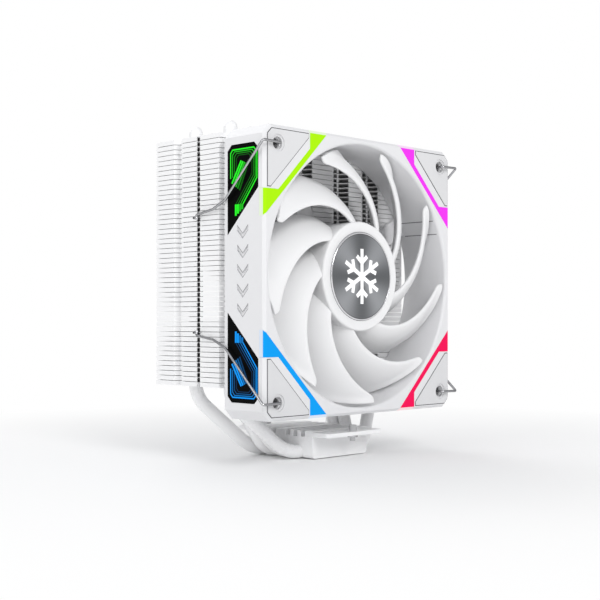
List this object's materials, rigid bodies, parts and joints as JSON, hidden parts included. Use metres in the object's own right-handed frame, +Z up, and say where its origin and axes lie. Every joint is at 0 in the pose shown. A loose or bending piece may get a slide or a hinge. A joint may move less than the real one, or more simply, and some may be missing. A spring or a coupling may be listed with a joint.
{
  "type": "cpu tower cooler",
  "caption": "Tower heatsink with a stack of thin white fins on bent heat pipes, a grooved contact base with mounting ears, and a framed axial fan with lit corners held by spring wires",
  "frame": {"origin": "centre of the contact face under the base", "axes": "+X right seen from the fan's side, +Y back from the fan towards the fins, +Z up along the fin stack"},
  "size_m": [0.1262, 0.0735, 0.1464],
  "materials": {
    "white_plastic": "satin",
    "green_light": "glowing",
    "magenta_light": "glowing",
    "blue_light": "glowing",
    "red_light": "glowing",
    "pad_rubber": "matte",
    "upper_window": "smoked, with a lit outline",
    "lower_window": "smoked, with a lit outline",
    "light_board": "satin",
    "blade_plastic": "satin",
    "badge_metal": "brushed in circles",
    "emblem_white": "satin",
    "motor_steel": "satin",
    "magnet": "matte",
    "shaft_steel": "polished",
    "clip_nylon": "matte",
    "bearing_bronze": "satin",
    "coil_copper": "satin",
    "circuit_board": "satin",
    "fin_paint": "satin",
    "pipe_paint": "satin",
    "base_paint": "satin",
    "screw_steel": "dark",
    "wire_steel": "polished"
  },
  "bodies": {
    "heatsink": {"fan_frame": "white_plastic", "corner_light_green": "green_light", "corner_light_magenta": "magenta_light", "corner_light_blue": "blue_light", "corner_light_red": "red_light", "front_corner_pads": "pad_rubber", "rear_corner_pads": "pad_rubber", "upper_side_windows": "upper_window", "lower_side_windows": "lower_window", "upper_light_boards": "light_board", "lower_light_boards": "light_board", "bearing_sleeve": "bearing_bronze", "stator_core": "motor_steel", "stator_coils": "coil_copper", "motor_board": "circuit_board", "top_fin": "fin_paint", "fin_stack": "fin_paint", "heat_pipe_front_outer": "pipe_paint", "heat_pipe_front_inner": "pipe_paint", "heat_pipe_rear_inner": "pipe_paint", "heat_pipe_rear_outer": "pipe_paint", "base_plate": "base_paint", "base_cover": "base_paint", "mounting_ear_front": "base_paint", "mounting_ear_rear": "base_paint", "wire_clip_left": "wire_steel", "wire_clip_right": "wire_steel"},
    "rotor": {"impeller": "blade_plastic", "hub_badge": "badge_metal", "badge_emblem": "emblem_white", "rotor_cup": "motor_steel", "magnet_ring": "magnet", "rotor_shaft": "shaft_steel", "shaft_clip": "clip_nylon"},
    "front_screw": {"mounting_screw_front": "screw_steel", "screw_ring_front": "screw_steel"},
    "rear_screw": {"mounting_screw_rear": "screw_steel", "screw_ring_rear": "screw_steel"}
  },
  "joints": [
    {"name": "fan_spin", "type": "hinge", "parent": "heatsink", "child": "rotor", "pos_m": [0, -0.0245, 0.0795], "axis": [0, -1, 0], "continuous": true},
    {"name": "front_screw_turn", "type": "hinge", "parent": "heatsink", "child": "front_screw", "pos_m": [0, -0.0274, 0.0081], "axis": [0, 0, -1], "continuous": true},
    {"name": "rear_screw_turn", "type": "hinge", "parent": "heatsink", "child": "rear_screw", "pos_m": [0, 0.0274, 0.0081], "axis": [0, 0, -1], "continuous": true}
  ]
}
